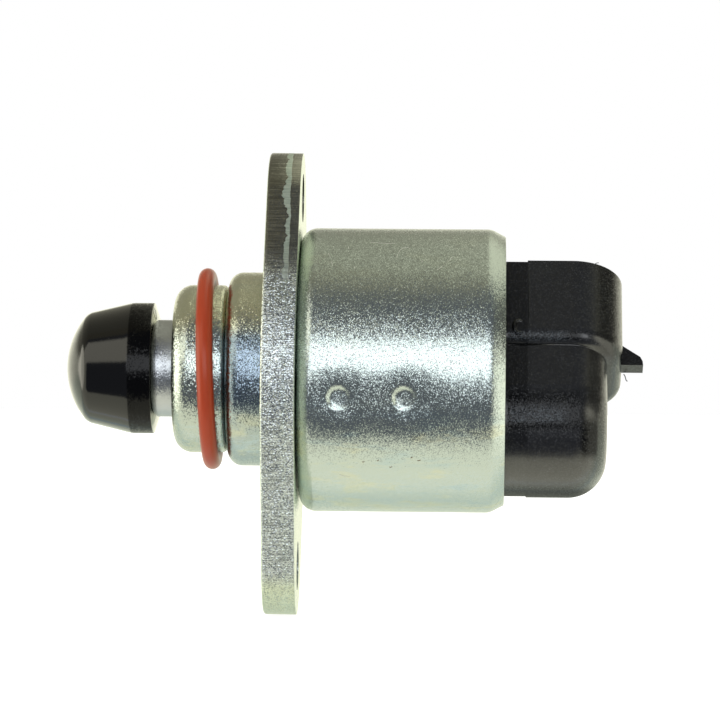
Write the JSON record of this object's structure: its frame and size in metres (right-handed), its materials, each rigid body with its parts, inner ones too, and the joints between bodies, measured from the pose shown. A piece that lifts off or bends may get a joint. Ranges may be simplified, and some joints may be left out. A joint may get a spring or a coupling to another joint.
{
  "type": "idle air control valve",
  "caption": "Idle air control valve: a stepper motor in a round can screws a conical pintle in and out of an engine's air bypass; two-hole flange, side-facing plug.",
  "frame": {"origin": "on the valve axis, in the plane of the flange face that bolts to the throttle body", "axes": "+X along the valve axis from the pintle to the connector end, +Z along the flange to its nearer bolt hole, -Y the side that the picture shows; the plug points up and back, 30 degrees from +Z towards +Y"},
  "size_m": [0.0733, 0.0388, 0.0587],
  "materials": {
    "can_zinc": "bright zinc plate with fine drawing lines and small pits",
    "flange_steel": "zinc plated stamping with a sheared edge",
    "nose_zinc": "zinc plate with a faint yellow tint",
    "seal_red": "red-orange rubber, slightly shiny",
    "head_black": "gloss black moulding",
    "sleeve_steel": "dull grey metal",
    "screw_steel": "rolled steel, oiled",
    "spring_steel": "bright spring steel",
    "nylon_white": "natural nylon",
    "bearing_steel": "polished bearing steel",
    "cage_brass": "pressed brass",
    "magnet_ferrite": "dark grey ferrite",
    "core_iron": "soft iron, thin zinc plate",
    "bobbin_white": "white moulding",
    "coil_copper": "enamelled copper wire",
    "bush_bronze": "sintered bronze",
    "seal_black": "black rubber",
    "housing_black": "satin black moulding",
    "terminal_tin": "tin plated brass"
  },
  "bodies": {
    "housing": {"can": "can_zinc", "mounting_flange": "flange_steel", "nose_cover": "nose_zinc", "nose_o_ring": "seal_red", "return_spring": "spring_steel", "screw_guide": "nylon_white", "bearing_outer_race": "bearing_steel", "claw_cup_1": "core_iron", "claw_cup_2": "core_iron", "claw_cup_3": "core_iron", "claw_cup_4": "core_iron", "front_bobbin": "bobbin_white", "rear_bobbin": "bobbin_white", "front_winding": "coil_copper", "rear_winding": "coil_copper", "rear_bush": "bush_bronze", "preload_washer": "spring_steel", "housing_seal": "seal_black", "connector_housing": "housing_black", "terminal_1": "terminal_tin", "terminal_2": "terminal_tin", "terminal_3": "terminal_tin", "terminal_4": "terminal_tin"},
    "pintle": {"valve_head": "head_black", "pintle_sleeve": "sleeve_steel", "lead_screw": "screw_steel"},
    "rotor": {"rotor_hub": "nylon_white", "ring_magnet": "magnet_ferrite", "bearing_inner_race": "bearing_steel"},
    "ball_set": {"bearing_balls": "bearing_steel", "bearing_cage": "cage_brass"}
  },
  "joints": [
    {"name": "rotor_spin", "type": "hinge", "parent": "housing", "child": "rotor", "pos_m": [0, 0, 0], "axis": [1, 0, 0], "range_deg": [-2340, 684]},
    {"name": "pintle_slide", "type": "slide", "parent": "housing", "child": "pintle", "axis": [1, 0, 0], "range_m": [-0.0065, 0.0019], "deforming": ["return_spring"]},
    {"name": "ball_set_spin", "type": "hinge", "parent": "housing", "child": "ball_set", "pos_m": [0, 0, 0], "axis": [1, 0, 0], "range_deg": [-1150, 350]}
  ],
  "couplings": [
    {"joint": "pintle_slide", "follows": "rotor_spin", "m_per_rad": 0.00015915},
    {"joint": "ball_set_spin", "follows": "rotor_spin", "ratio": 0.3926}
  ]
}
